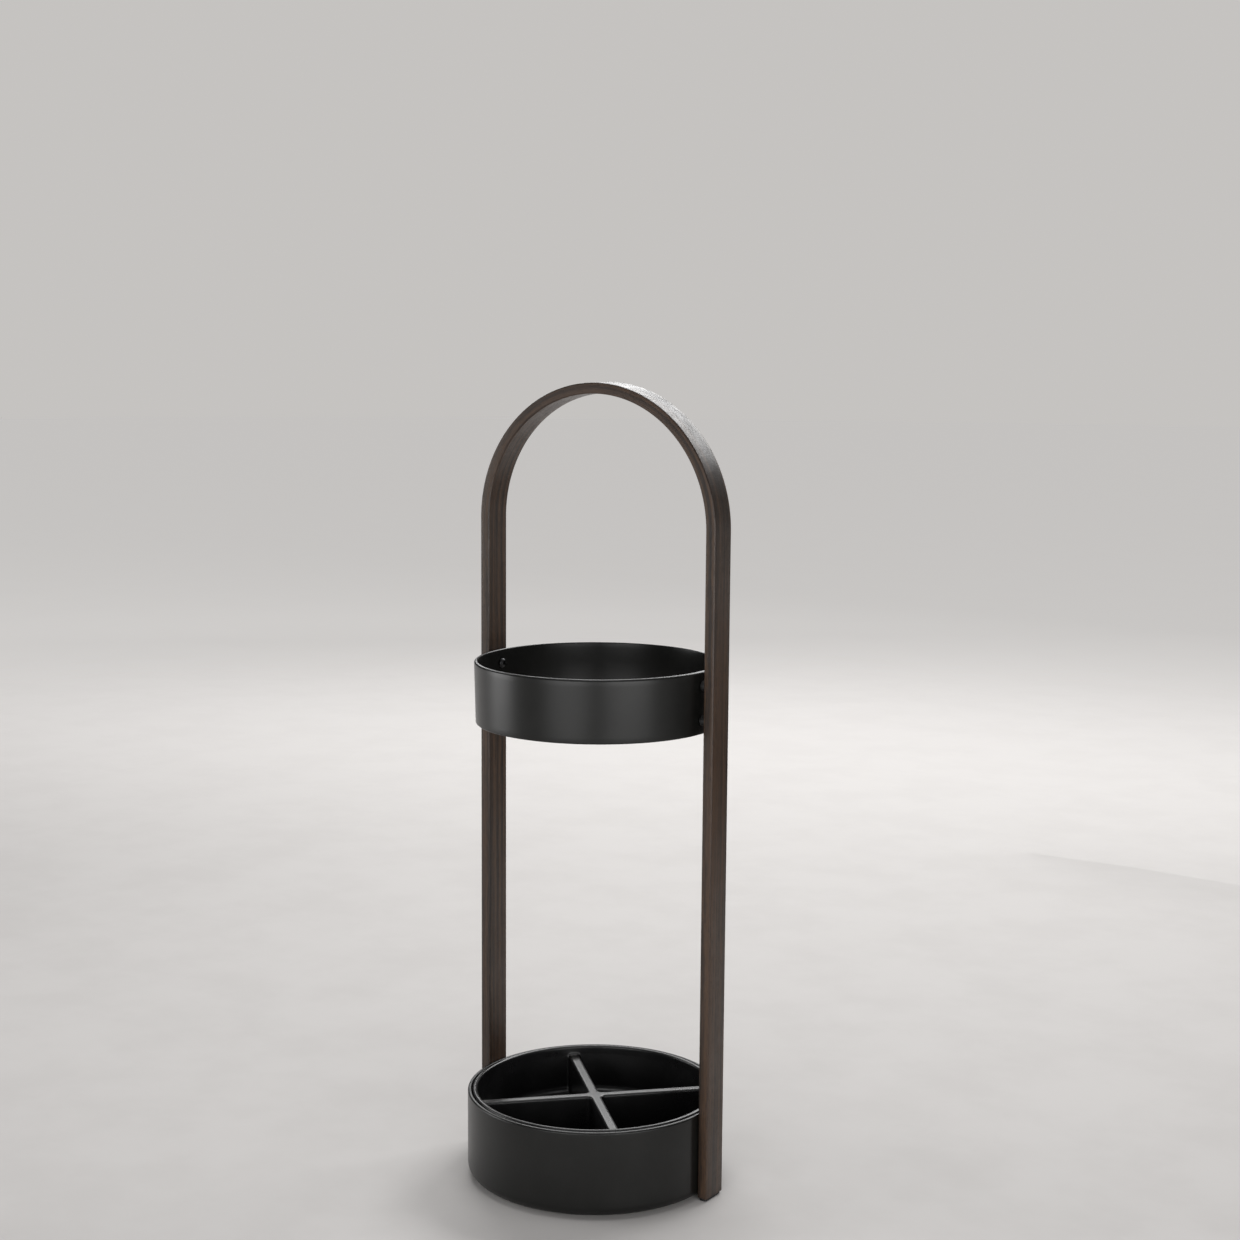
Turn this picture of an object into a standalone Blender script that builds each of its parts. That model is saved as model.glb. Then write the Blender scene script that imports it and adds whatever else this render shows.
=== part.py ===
"""Umbrella stand: a bent wood arch carries a steel ring above a weighted steel tub.

+Z is up, +X runs across the two legs and -Y is the front. The origin lies on the
floor under the middle of the tub. Lengths are in metres.
"""
import math

import bmesh
import bpy
from mathutils import Vector

# ---- Driving dimensions ---------------------------------------------------------
FIT_GAP = 0.0003              # air between two pieces that touch
OVERRUN = 0.0010              # how far a cutting tool runs past a face

STAND_HEIGHT = 0.635
LEG_GAP = 0.2029              # clear width between the legs
LEG_SETBACK = 0.0055          # the legs stand this far behind the tub's middle
STRIP_THICKNESS = 0.0086      # bent strip, across the arch
STRIP_WIDTH = 0.0238          # bent strip, front to back
STRIP_EDGE = 0.0012           # rounding of the strip's long edges

FOOT_HEIGHT = 0.0020          # glides and pads lift the legs and the tub this much

RING_TOP_Z = 0.4184
RING_HEIGHT = 0.0490
RING_TOP_RADIUS = 0.0968
RING_BOTTOM_RADIUS = 0.0956   # the ring narrows a little downwards
RING_WALL = 0.0030
RING_SCREW_PITCH = 0.0270     # between the two screws at one leg

TUB_RADIUS = 0.1024
TUB_RIM_Z = 0.0701
TUB_WALL = 0.0030
TUB_FLOOR = 0.0030
TUB_BOTTOM_EDGE = 0.0084      # outer rounding at the floor
TUB_SCREW_HEIGHTS = {"upper": 0.0560, "lower": 0.0400}

BALLAST_RADIUS = 0.0935
BALLAST_TOP_Z = 0.0297

LINER_RIM_Z = 0.0709
LINER_FLOOR_Z = 0.0325
LINER_FLOOR = 0.0025
LINER_LIP_OUTER = 0.0986
LINER_LIP_INNER = 0.0947
LINER_LIP_HEIGHT = 0.0070
LINER_WALL = 0.0018
LINER_DRAFT = 0.0014          # the moulded wall narrows this much down to its floor
DIVIDER_TOP_Z = 0.0634
DIVIDER_THICKNESS = 0.0084
DIVIDER_FILLET = 0.0040       # where the two walls of the cross meet

SCREW_RADIUS = 0.0020
SCREW_HEAD_RADIUS = 0.0038
SCREW_HEAD_HEIGHT = 0.0022
SOCKET_RADIUS = 0.00144       # across the corners of a 2.5 mm hexagon, halved
SOCKET_DEPTH = 0.0012
RING_SCREW_LENGTH = 0.0148
TUB_SCREW_LENGTH = 0.0090
INSERT_RADIUS = 0.0032
INSERT_LENGTH = 0.0070
SPACER_RADIUS = 0.0040

COUNTERSUNK_HEAD_RADIUS = 0.0046
COUNTERSUNK_HEAD_HEIGHT = 0.0024
COUNTERSUNK_SHANK_RADIUS = 0.0025
COUNTERSUNK_LENGTH = 0.0120
COUNTERSUNK_CIRCLE = 0.0450   # radius of the circle the ballast screws stand on
BUSHING_RADIUS = 0.0045
BUSHING_LENGTH = 0.0090

PAD_RADIUS = 0.0090
PAD_CIRCLE = 0.0750           # radius of the circle the foot pads stand on
GLIDE_MARGIN = 0.0010         # wood left showing around a glide
GLIDE_CORNER = 0.0015

# ---- Worked out from the driving dimensions ------------------------------------
LEG_INNER_X = LEG_GAP / 2
ARCH_RADIUS = LEG_INNER_X + STRIP_THICKNESS / 2
ARCH_CENTRE_Z = STAND_HEIGHT - LEG_INNER_X - STRIP_THICKNESS
TUB_INNER_RADIUS = TUB_RADIUS - TUB_WALL
TUB_FLOOR_Z = FOOT_HEIGHT + TUB_FLOOR
SCREW_CLEARANCE = SCREW_RADIUS + FIT_GAP
RING_MIDDLE_Z = RING_TOP_Z - RING_HEIGHT / 2
RING_SCREW_HEIGHTS = {
    "upper": RING_MIDDLE_Z + RING_SCREW_PITCH / 2,
    "lower": RING_MIDDLE_Z - RING_SCREW_PITCH / 2,
}
SIDES = {"left": -1, "right": 1}

# ---- Fineness of the round shapes ----------------------------------------------
ROUND_STEPS = 64
HIDDEN_STEPS = 36
SMALL_STEPS = 12
ARCH_STEPS = 32
ARC_STEP = math.radians(45)   # one step of a rounded corner
SMOOTH_ANGLE = math.radians(35)


# ---- Modelling helpers ----------------------------------------------------------
def clear_scene():
    for old in list(bpy.data.objects):
        bpy.data.objects.remove(old, do_unlink=True)


def make_material(name, colour, roughness, metallic=0.0):
    material = bpy.data.materials.new(name)
    material.use_nodes = True
    shader = material.node_tree.nodes["Principled BSDF"]
    shader.inputs["Base Color"].default_value = (*colour, 1.0)
    shader.inputs["Roughness"].default_value = roughness
    shader.inputs["Metallic"].default_value = metallic
    return material


def mesh_from(bm, name):
    """Finish a closed bmesh: faces outwards, smooth on the round parts."""
    bmesh.ops.recalc_face_normals(bm, faces=bm.faces)
    mesh = bpy.data.meshes.new(name)
    bm.to_mesh(mesh)
    bm.free()
    mesh.shade_smooth()
    mesh.set_sharp_from_angle(angle=SMOOTH_ANGLE)
    return mesh


def place(name, mesh, material, location=(0, 0, 0), rotation=(0, 0, 0), parent=None):
    part = bpy.data.objects.new(name, mesh)
    bpy.context.collection.objects.link(part)
    if material.name not in mesh.materials:
        mesh.materials.append(material)
    part.location = location
    part.rotation_euler = rotation
    part.parent = parent
    return part


def rounded_outline(corners, closed):
    """Turn (u, v, radius) corners into points, with an arc at each rounded corner."""
    points = []
    count = len(corners)
    for index, (u, v, radius) in enumerate(corners):
        corner = Vector((u, v))
        at_end = not closed and index in (0, count - 1)
        if radius == 0 or at_end:
            points.append(corner)
            continue
        back = (Vector(corners[index - 1][:2]) - corner).normalized()
        ahead = (Vector(corners[(index + 1) % count][:2]) - corner).normalized()
        half_angle = back.angle(ahead) / 2
        centre = corner + (back + ahead).normalized() * radius / math.sin(half_angle)
        start = corner + back * radius / math.tan(half_angle) - centre
        turn = start.angle_signed(corner + ahead * radius / math.tan(half_angle) - centre)
        steps = max(2, math.ceil(abs(turn) / ARC_STEP))
        for step in range(steps + 1):
            angle = -turn * step / steps
            spun = Vector((start.x * math.cos(angle) - start.y * math.sin(angle),
                           start.x * math.sin(angle) + start.y * math.cos(angle)))
            points.append(centre + spun)
    return points


def rounded_box_outline(half_u, half_v, radius):
    signs = ((-1, -1), (1, -1), (1, 1), (-1, 1))
    return rounded_outline([(u * half_u, v * half_v, radius) for u, v in signs], closed=True)


def hexagon_outline(radius):
    return [(radius * math.cos(k * math.pi / 3), radius * math.sin(k * math.pi / 3))
            for k in range(6)]


def turned(name, corners, steps, closed=False):
    """Spin a rounded outline of (radius, height) corners a full turn about Z.

    An open outline starts and ends on the axis; a closed one goes round a bore.
    """
    bm = bmesh.new()
    verts = [bm.verts.new((r, 0, z)) for r, z in rounded_outline(corners, closed)]
    edges = [bm.edges.new(pair) for pair in zip(verts, verts[1:])]
    if closed:
        edges.append(bm.edges.new((verts[-1], verts[0])))
    bmesh.ops.spin(bm, geom=verts + edges, axis=(0, 0, 1), cent=(0, 0, 0),
                   angle=math.tau, steps=steps, use_merge=True)
    bmesh.ops.remove_doubles(bm, verts=bm.verts, dist=1e-6)
    return mesh_from(bm, name)


def tube(name, outer, bore, length, edge=0):
    """A round sleeve along +Z from the origin, its outer edges eased if asked."""
    corners = [(bore, 0, 0), (outer, 0, edge), (outer, length, edge), (bore, length, 0)]
    return turned(name, corners, SMALL_STEPS, closed=True)


def raised(name, outline, low, high):
    """A flat outline in XY, extruded from one height to another."""
    bm = bmesh.new()
    face = bm.faces.new([bm.verts.new((x, y, low)) for x, y in outline])
    extruded = bmesh.ops.extrude_face_region(bm, geom=[face])
    moved = [item for item in extruded["geom"] if isinstance(item, bmesh.types.BMVert)]
    bmesh.ops.translate(bm, verts=moved, vec=(0, 0, high - low))
    return mesh_from(bm, name)


def cutter(name, mesh, location=(0, 0, 0), rotation=(0, 0, 0)):
    """A tool shape for a Boolean. It isn't part of the stand."""
    tool = bpy.data.objects.new(name, mesh)
    bpy.context.collection.objects.link(tool)
    tool.location = location
    tool.rotation_euler = rotation
    tool.hide_render = True
    tool.display_type = "WIRE"
    return tool


def combine(target, tool, operation):
    change = target.modifiers.new(tool.name, "BOOLEAN")
    change.operation = operation
    change.solver = "EXACT"
    change.object = tool


def baked(part):
    """The part's mesh with its modifiers applied, for copies to share."""
    bpy.context.view_layer.update()
    graph = bpy.context.evaluated_depsgraph_get()
    mesh = bpy.data.meshes.new_from_object(part.evaluated_get(graph))
    mesh.name = part.name
    return mesh


def facing_axis(side):
    """The rotation that turns +Z away from a leg, towards the middle of the stand."""
    return (0, -side * math.pi / 2, 0)


def drill_across(target, heights, radius, reach_from, reach_to, label):
    """Drill along X on both sides of the stand, from one distance to another."""
    hole = turned(label, [(0, 0, 0), (radius, 0, 0), (radius, reach_to - reach_from, 0),
                          (0, reach_to - reach_from, 0)], SMALL_STEPS)
    for side_name, side in SIDES.items():
        for height_name, height in heights.items():
            tool = cutter(f"{label}_{side_name}_{height_name}", hole,
                          (side * reach_to, 0, height), facing_axis(side))
            combine(target, tool, "DIFFERENCE")


# ---- Wood arch --------------------------------------------------------------------
def make_bent_frame(material):
    """One strip, bent to a half circle at the top, with straight legs to the floor."""
    section = rounded_box_outline(STRIP_THICKNESS / 2, STRIP_WIDTH / 2, STRIP_EDGE)
    bm = bmesh.new()
    foot = [bm.verts.new((ARCH_RADIUS + x, LEG_SETBACK + y, FOOT_HEIGHT)) for x, y in section]
    end_face = bm.faces.new(foot)
    rise = ARCH_CENTRE_Z - FOOT_HEIGHT
    end_face = extend(bm, end_face, rise)
    bend = bmesh.ops.spin(bm, geom=[end_face], axis=(0, -1, 0), cent=(0, 0, ARCH_CENTRE_Z),
                          angle=math.pi, steps=ARCH_STEPS)
    drop_inner_face(bm, end_face)
    end_face = next(item for item in bend["geom_last"] if isinstance(item, bmesh.types.BMFace))
    extend(bm, end_face, -rise)
    frame = place("bent_frame", mesh_from(bm, "bent_frame"), material)
    pocket_end = LEG_INNER_X + INSERT_LENGTH + FIT_GAP
    pocket_start = LEG_INNER_X - OVERRUN
    heights = {f"ring_{name}": z for name, z in RING_SCREW_HEIGHTS.items()}
    heights.update({f"tub_{name}": z for name, z in TUB_SCREW_HEIGHTS.items()})
    drill_across(frame, heights, INSERT_RADIUS + FIT_GAP, pocket_start, pocket_end, "insert_pocket")


def extend(bm, face, distance):
    """Extrude a face along Z and return the new end face."""
    result = bmesh.ops.extrude_face_region(bm, geom=[face])["geom"]
    verts = [item for item in result if isinstance(item, bmesh.types.BMVert)]
    bmesh.ops.translate(bm, verts=verts, vec=(0, 0, distance))
    drop_inner_face(bm, face)
    return next(item for item in result if isinstance(item, bmesh.types.BMFace))


def drop_inner_face(bm, face):
    """Delete a face that an extrusion has left inside the solid."""
    if face.is_valid and len(face.edges[0].link_faces) > 2:
        bmesh.ops.delete(bm, geom=[face], context="FACES_ONLY")


def make_leg_glides(material):
    half_thick = STRIP_THICKNESS / 2 - GLIDE_MARGIN
    half_wide = STRIP_WIDTH / 2 - GLIDE_MARGIN
    outline = rounded_box_outline(half_thick, half_wide, GLIDE_CORNER)
    mesh = raised("leg_glide", outline, 0, FOOT_HEIGHT - FIT_GAP)
    for side_name, side in SIDES.items():
        place(f"leg_glide_{side_name}", mesh, material, (side * ARCH_RADIUS, LEG_SETBACK, 0))


# ---- Upper ring -------------------------------------------------------------------
def ring_radius(height):
    """Outer radius of the tapered ring at a height above the floor."""
    down = (RING_TOP_Z - height) / RING_HEIGHT
    return RING_TOP_RADIUS + (RING_BOTTOM_RADIUS - RING_TOP_RADIUS) * down


def make_upper_ring(material):
    """A steel band, rolled and welded, with a softly rounded top edge."""
    bottom = RING_TOP_Z - RING_HEIGHT
    corners = [(RING_BOTTOM_RADIUS - RING_WALL, bottom, 0.0008),
               (RING_BOTTOM_RADIUS, bottom, 0.0010),
               (RING_TOP_RADIUS, RING_TOP_Z, 0.0018),
               (RING_TOP_RADIUS - RING_WALL, RING_TOP_Z, 0.0010)]
    ring = place("upper_ring", turned("upper_ring", corners, ROUND_STEPS, closed=True), material)
    drill_across(ring, RING_SCREW_HEIGHTS, SCREW_CLEARANCE,
                 RING_BOTTOM_RADIUS - 2 * RING_WALL, LEG_INNER_X, "ring_hole")


def make_ring_spacers(material):
    """Sleeves that hold the ring off the legs, one round each ring screw."""
    for height_name, height in RING_SCREW_HEIGHTS.items():
        start = ring_radius(height) + 1.5 * FIT_GAP
        length = LEG_INNER_X - FIT_GAP - start
        mesh = tube("ring_spacer", SPACER_RADIUS, SCREW_CLEARANCE, length, 0.0005)
        for side_name, side in SIDES.items():
            place(f"ring_spacer_{side_name}_{height_name}", mesh, material,
                  (side * (LEG_INNER_X - FIT_GAP), 0, height), facing_axis(side))


# ---- Screws and inserts -----------------------------------------------------------
def button_screw(name, length):
    """A button head screw with a hexagon socket, its head above the origin."""
    corners = [(0, -length, 0), (SCREW_RADIUS, -length, 0.0004), (SCREW_RADIUS, 0, 0),
               (SCREW_HEAD_RADIUS, 0, 0), (SCREW_HEAD_RADIUS, 0.0006, 0.0003),
               (0.0024, SCREW_HEAD_HEIGHT, 0.0012), (0, SCREW_HEAD_HEIGHT, 0)]
    screw = cutter(name, turned(name, corners, SMALL_STEPS))
    socket = raised("socket", hexagon_outline(SOCKET_RADIUS),
                    SCREW_HEAD_HEIGHT - SOCKET_DEPTH, SCREW_HEAD_HEIGHT + OVERRUN)
    combine(screw, cutter(f"{name}_socket", socket), "DIFFERENCE")
    mesh = baked(screw)
    bpy.data.objects.remove(screw, do_unlink=True)
    return mesh


def make_ring_screws(material):
    mesh = button_screw("ring_screw", RING_SCREW_LENGTH)
    for side_name, side in SIDES.items():
        for height_name, height in RING_SCREW_HEIGHTS.items():
            inner_wall = ring_radius(height) - RING_WALL - 1.5 * FIT_GAP
            place(f"ring_screw_{side_name}_{height_name}", mesh, material,
                  (side * inner_wall, 0, height), facing_axis(side))


def make_tub_screws(material):
    mesh = button_screw("tub_screw", TUB_SCREW_LENGTH)
    inner_wall = TUB_INNER_RADIUS - 1.3 * FIT_GAP
    for side_name, side in SIDES.items():
        for height_name, height in TUB_SCREW_HEIGHTS.items():
            place(f"tub_screw_{side_name}_{height_name}", mesh, material,
                  (side * inner_wall, 0, height), facing_axis(side))


def make_leg_inserts(material):
    """Threaded sleeves set into the legs from inside, one for each screw."""
    mesh = tube("leg_insert", INSERT_RADIUS, SCREW_CLEARANCE, INSERT_LENGTH)
    rows = {"ring": RING_SCREW_HEIGHTS, "tub": TUB_SCREW_HEIGHTS}
    for row_name, heights in rows.items():
        for side_name, side in SIDES.items():
            for height_name, height in heights.items():
                place(f"{row_name}_insert_{side_name}_{height_name}", mesh, material,
                      (side * (LEG_INNER_X + INSERT_LENGTH), 0, height), facing_axis(side))


# ---- Base tub and what is under its liner -------------------------------------------
def ballast_screw_places():
    """Where the three ballast screws stand on the tub's floor."""
    for number in range(3):
        angle = math.radians(90 + 120 * number)
        yield number + 1, COUNTERSUNK_CIRCLE * math.cos(angle), COUNTERSUNK_CIRCLE * math.sin(angle)


def countersunk_corners(grow):
    """Outline of a countersunk screw, head down, grown outwards by a gap."""
    head = COUNTERSUNK_HEAD_RADIUS + grow
    shank = COUNTERSUNK_SHANK_RADIUS + grow
    return [(0, -grow, 0), (head, -grow, 0), (shank, COUNTERSUNK_HEAD_HEIGHT, 0),
            (shank, COUNTERSUNK_LENGTH + grow, 0), (0, COUNTERSUNK_LENGTH + grow, 0)]


def make_base_tub(material):
    """A heavy-walled steel tub with a flat on each side where a leg is bolted."""
    corners = [(0, FOOT_HEIGHT, 0),
               (TUB_RADIUS, FOOT_HEIGHT, TUB_BOTTOM_EDGE),
               (TUB_RADIUS, TUB_RIM_Z, 0.0016),
               (TUB_INNER_RADIUS, TUB_RIM_Z, 0.0008),
               (TUB_INNER_RADIUS, TUB_FLOOR_Z, TUB_BOTTOM_EDGE - TUB_FLOOR),
               (0, TUB_FLOOR_Z, 0)]
    tub = place("base_tub", turned("base_tub", corners, ROUND_STEPS), material)
    flat_x = LEG_INNER_X - FIT_GAP
    reach = 0.02
    block = raised("leg_flat", [(0, -reach), (reach, -reach), (reach, reach), (0, reach)], -0.01, 0.1)
    for side_name, side in SIDES.items():
        turn = (0, 0, 0) if side > 0 else (0, 0, math.pi)
        combine(tub, cutter(f"leg_flat_{side_name}", block, (side * flat_x, 0, 0), turn), "DIFFERENCE")
    drill_across(tub, TUB_SCREW_HEIGHTS, SCREW_CLEARANCE,
                 TUB_INNER_RADIUS - TUB_WALL, LEG_INNER_X + OVERRUN, "tub_hole")
    hole = turned("floor_hole", countersunk_corners(FIT_GAP), SMALL_STEPS)
    for number, x, y in ballast_screw_places():
        tool = cutter(f"floor_hole_{number}", hole, (x, y, FOOT_HEIGHT))
        combine(tub, tool, "DIFFERENCE")


def make_ballast(material):
    """A cast concrete disc that fills the tub below the liner."""
    low = TUB_FLOOR_Z + FIT_GAP
    corners = [(0, low, 0), (BALLAST_RADIUS - 0.003, low, 0), (BALLAST_RADIUS, low + 0.003, 0),
               (BALLAST_RADIUS, BALLAST_TOP_Z, 0.002), (0, BALLAST_TOP_Z, 0)]
    block = place("ballast_block", turned("ballast_block", corners, HIDDEN_STEPS), material)
    depth = BUSHING_LENGTH + 2 * FIT_GAP
    radius = BUSHING_RADIUS + FIT_GAP
    pocket = turned("bushing_pocket", [(0, -OVERRUN, 0), (radius, -OVERRUN, 0),
                                       (radius, depth, 0), (0, depth, 0)], SMALL_STEPS)
    for number, x, y in ballast_screw_places():
        combine(block, cutter(f"bushing_pocket_{number}", pocket, (x, y, low)), "DIFFERENCE")


def make_ballast_fixings(screw_material, bushing_material):
    """Countersunk screws from below, and the threaded bushings cast into the ballast."""
    screw = cutter("ballast_screw", turned("ballast_screw", countersunk_corners(0), SMALL_STEPS))
    socket = raised("socket", hexagon_outline(SOCKET_RADIUS), -OVERRUN, SOCKET_DEPTH)
    combine(screw, cutter("ballast_socket", socket), "DIFFERENCE")
    screw_mesh = baked(screw)
    bpy.data.objects.remove(screw, do_unlink=True)
    bushing_mesh = tube("ballast_bushing", BUSHING_RADIUS, COUNTERSUNK_SHANK_RADIUS + FIT_GAP,
                        BUSHING_LENGTH)
    bushing_z = TUB_FLOOR_Z + 2 * FIT_GAP
    for number, x, y in ballast_screw_places():
        place(f"ballast_screw_{number}", screw_mesh, screw_material, (x, y, FOOT_HEIGHT))
        place(f"ballast_bushing_{number}", bushing_mesh, bushing_material, (x, y, bushing_z))


def make_foot_pads(material):
    """Four soft discs stuck under the tub."""
    thickness = FOOT_HEIGHT - FIT_GAP
    corners = [(0, 0, 0), (PAD_RADIUS, 0, 0.0006), (PAD_RADIUS, thickness, 0), (0, thickness, 0)]
    mesh = turned("foot_pad", corners, 2 * SMALL_STEPS)
    for number in range(4):
        angle = math.radians(45 + 90 * number)
        place(f"foot_pad_{number + 1}", mesh, material,
              (PAD_CIRCLE * math.cos(angle), PAD_CIRCLE * math.sin(angle), 0))


# ---- Lift-out liner -------------------------------------------------------------------
def make_drip_liner(material):
    """One moulding: a shallow round tray with a rounded lip and a cross of two walls."""
    bottom = LINER_FLOOR_Z - LINER_FLOOR
    lip_foot = LINER_RIM_Z - LINER_LIP_HEIGHT
    inner = LINER_LIP_INNER - 0.0003
    corners = [(0, bottom, 0),
               (inner + LINER_WALL - LINER_DRAFT, bottom, 0.0060),
               (inner + LINER_WALL, lip_foot - 0.0015, 0.0005),
               (LINER_LIP_OUTER, lip_foot, 0.0006),
               (LINER_LIP_OUTER, LINER_RIM_Z, 0.0018),
               (LINER_LIP_INNER, LINER_RIM_Z, 0.0018),
               (inner, lip_foot, 0),
               (inner - LINER_DRAFT, LINER_FLOOR_Z, 0.0050),
               (0, LINER_FLOOR_Z, 0)]
    lift = bpy.data.objects.new("liner_lift", None)
    bpy.context.collection.objects.link(lift)
    tray = place("drip_liner", turned("drip_liner", corners, ROUND_STEPS), material, parent=lift)
    cross = cutter("divider_cross", divider_mesh(inner - LINER_DRAFT / 2 + LINER_WALL / 2),
                   rotation=(0, 0, math.radians(45)))
    combine(tray, cross, "UNION")


def divider_mesh(reach):
    """The cross of two upright walls, with fillets where they meet and rounded tops."""
    half = DIVIDER_THICKNESS / 2
    arms = []
    for quarter in range(4):
        turn = quarter * math.pi / 2
        for u, v, radius in ((reach, -half, 0), (reach, half, 0), (half, half, DIVIDER_FILLET)):
            arms.append((u * math.cos(turn) - v * math.sin(turn),
                         u * math.sin(turn) + v * math.cos(turn), radius))
    outline = rounded_outline(arms, closed=True)
    mesh = raised("divider_cross", outline, LINER_FLOOR_Z - LINER_FLOOR / 2, DIVIDER_TOP_Z)
    bm = bmesh.new()
    bm.from_mesh(mesh)
    top = [edge for edge in bm.edges
           if all(abs(vert.co.z - DIVIDER_TOP_Z) < 1e-6 for vert in edge.verts)]
    bmesh.ops.bevel(bm, geom=top, offset=0.0018, segments=3, profile=0.5, affect="EDGES")
    return mesh_from(bm, "divider_cross")


def build():
    clear_scene()
    wood = make_material("stained_wood", (0.055, 0.032, 0.020), 0.42)
    coat = make_material("black_powder_coat", (0.022, 0.022, 0.020), 0.48)
    silicone = make_material("black_silicone", (0.030, 0.029, 0.028), 0.45)
    concrete = make_material("concrete", (0.36, 0.35, 0.33), 0.90)
    black_steel = make_material("blackened_steel", (0.040, 0.040, 0.042), 0.38, 0.9)
    zinc = make_material("zinc_plated_steel", (0.60, 0.60, 0.58), 0.35, 1.0)
    brass = make_material("brass", (0.62, 0.45, 0.18), 0.35, 1.0)
    nylon = make_material("black_nylon", (0.025, 0.025, 0.025), 0.55)
    rubber = make_material("soft_rubber", (0.045, 0.045, 0.045), 0.80)

    make_bent_frame(wood)
    make_leg_glides(nylon)
    make_leg_inserts(brass)
    make_upper_ring(coat)
    make_ring_spacers(nylon)
    make_ring_screws(black_steel)
    make_base_tub(coat)
    make_tub_screws(black_steel)
    make_ballast(concrete)
    make_ballast_fixings(zinc, brass)
    make_foot_pads(rubber)
    make_drip_liner(silicone)


build()
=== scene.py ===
"""Umbrella stand on a pale studio floor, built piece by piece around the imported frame.

+Z is up, +X runs across the two legs and -Y is the front. Lengths are in metres.
"""

import math

import bmesh
import bpy
import numpy as np
from mathutils import Matrix, Vector


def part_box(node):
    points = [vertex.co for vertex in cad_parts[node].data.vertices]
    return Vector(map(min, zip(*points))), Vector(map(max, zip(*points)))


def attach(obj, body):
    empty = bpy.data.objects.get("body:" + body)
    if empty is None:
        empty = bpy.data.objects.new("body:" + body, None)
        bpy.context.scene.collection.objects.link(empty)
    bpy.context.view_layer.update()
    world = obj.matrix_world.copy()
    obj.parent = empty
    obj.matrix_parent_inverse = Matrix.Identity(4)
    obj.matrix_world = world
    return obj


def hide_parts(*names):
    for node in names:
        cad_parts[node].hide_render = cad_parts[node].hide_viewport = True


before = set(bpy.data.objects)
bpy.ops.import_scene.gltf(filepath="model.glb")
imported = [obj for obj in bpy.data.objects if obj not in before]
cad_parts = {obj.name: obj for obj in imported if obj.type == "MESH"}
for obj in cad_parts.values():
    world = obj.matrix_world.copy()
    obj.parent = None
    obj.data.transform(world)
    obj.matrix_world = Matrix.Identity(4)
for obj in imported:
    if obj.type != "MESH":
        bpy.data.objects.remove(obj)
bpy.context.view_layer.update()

# ---- Bent wood frame --------------------------------------------------------------------
# One strip of dark-stained hardwood, steamed and bent to a half circle, so both legs and
# the carrying arch are a single piece. It is planed square, its long edges are eased with
# paper, and it is sealed with satin lacquer. Blind pockets inside the legs take inserts.
STRIP_THICKNESS = 0.0086
STRIP_EASING = 0.0012
FOOT_EASING = 0.0006
LEG_STEPS = 40
BEND_STEPS = 160
LONGEST_SPAN = 0.005          # straight runs of an outline are split to this length
ARC_STEPS = 6                 # points round one eased corner
LARGEST_EASING = 0.003        # a rounder corner than this counts as a bend, not as an edge
SMOOTH_ANGLE = math.radians(32)
POCKET_RADIUS = 0.0035
POCKET_DEPTH = 0.0073
TOOL_OVERRUN = 0.0010


def eased_outline(corners, closed, span=LONGEST_SPAN, arc_steps=ARC_STEPS):
    """Points on an outline of (across, up, radius) corners, each with its easing mark."""
    bends = []
    for index, (across, up, radius) in enumerate(corners):
        corner = Vector((across, up))
        if radius == 0:
            bends.append([(corner, 0.0)])
            continue
        back = (Vector(corners[index - 1][:2]) - corner).normalized()
        ahead = (Vector(corners[(index + 1) % len(corners)][:2]) - corner).normalized()
        half = back.angle(ahead) / 2
        centre = corner + (back + ahead).normalized() * radius / math.sin(half)
        start = corner + back * radius / math.tan(half) - centre
        end = corner + ahead * radius / math.tan(half) - centre
        turn = -start.angle_signed(end)
        arc = []
        for step in range(arc_steps + 1):
            spun = start.copy()
            spun.rotate(Matrix.Rotation(turn * step / arc_steps, 2))
            mark = math.sin(math.pi * step / arc_steps) if radius < LARGEST_EASING else 0.0
            arc.append((centre + spun, mark))
        bends.append(arc)
    points = []
    for index, arc in enumerate(bends):
        points.extend(arc)
        if index == len(bends) - 1 and not closed:
            break
        here, there = arc[-1][0], bends[(index + 1) % len(bends)][0][0]
        parts = math.ceil((there - here).length / span)
        points.extend((here.lerp(there, k / parts), 0.0) for k in range(1, parts))
    return points


def piece_of(name, bm):
    """Close off a mesh as a new piece, with its faces outwards."""
    bmesh.ops.recalc_face_normals(bm, faces=bm.faces)
    mesh = bpy.data.meshes.new(name)
    bm.to_mesh(mesh)
    bm.free()
    piece = bpy.data.objects.new(name, mesh)
    bpy.context.collection.objects.link(piece)
    smooth(piece)
    return piece


def smooth(piece):
    """Shade a piece smooth on its round parts and crisp at its corners."""
    piece.data.shade_smooth()
    piece.data.set_sharp_from_angle(angle=SMOOTH_ANGLE)


def cut(piece, bm):
    """Take the shape in bm out of a piece."""
    bmesh.ops.recalc_face_normals(bm, faces=bm.faces)
    shape = bpy.data.meshes.new("tool")
    bm.to_mesh(shape)
    bm.free()
    tool = bpy.data.objects.new("tool", shape)
    bpy.context.collection.objects.link(tool)
    change = piece.modifiers.new("cut", "BOOLEAN")
    change.operation = "DIFFERENCE"
    change.solver = "EXACT"
    change.object = tool
    bpy.context.view_layer.update()
    graph = bpy.context.evaluated_depsgraph_get()
    result = bpy.data.meshes.new_from_object(piece.evaluated_get(graph))
    piece.modifiers.clear()
    piece.data = result
    result.name = piece.name
    bpy.data.objects.remove(tool, do_unlink=True)
    smooth(piece)


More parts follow.
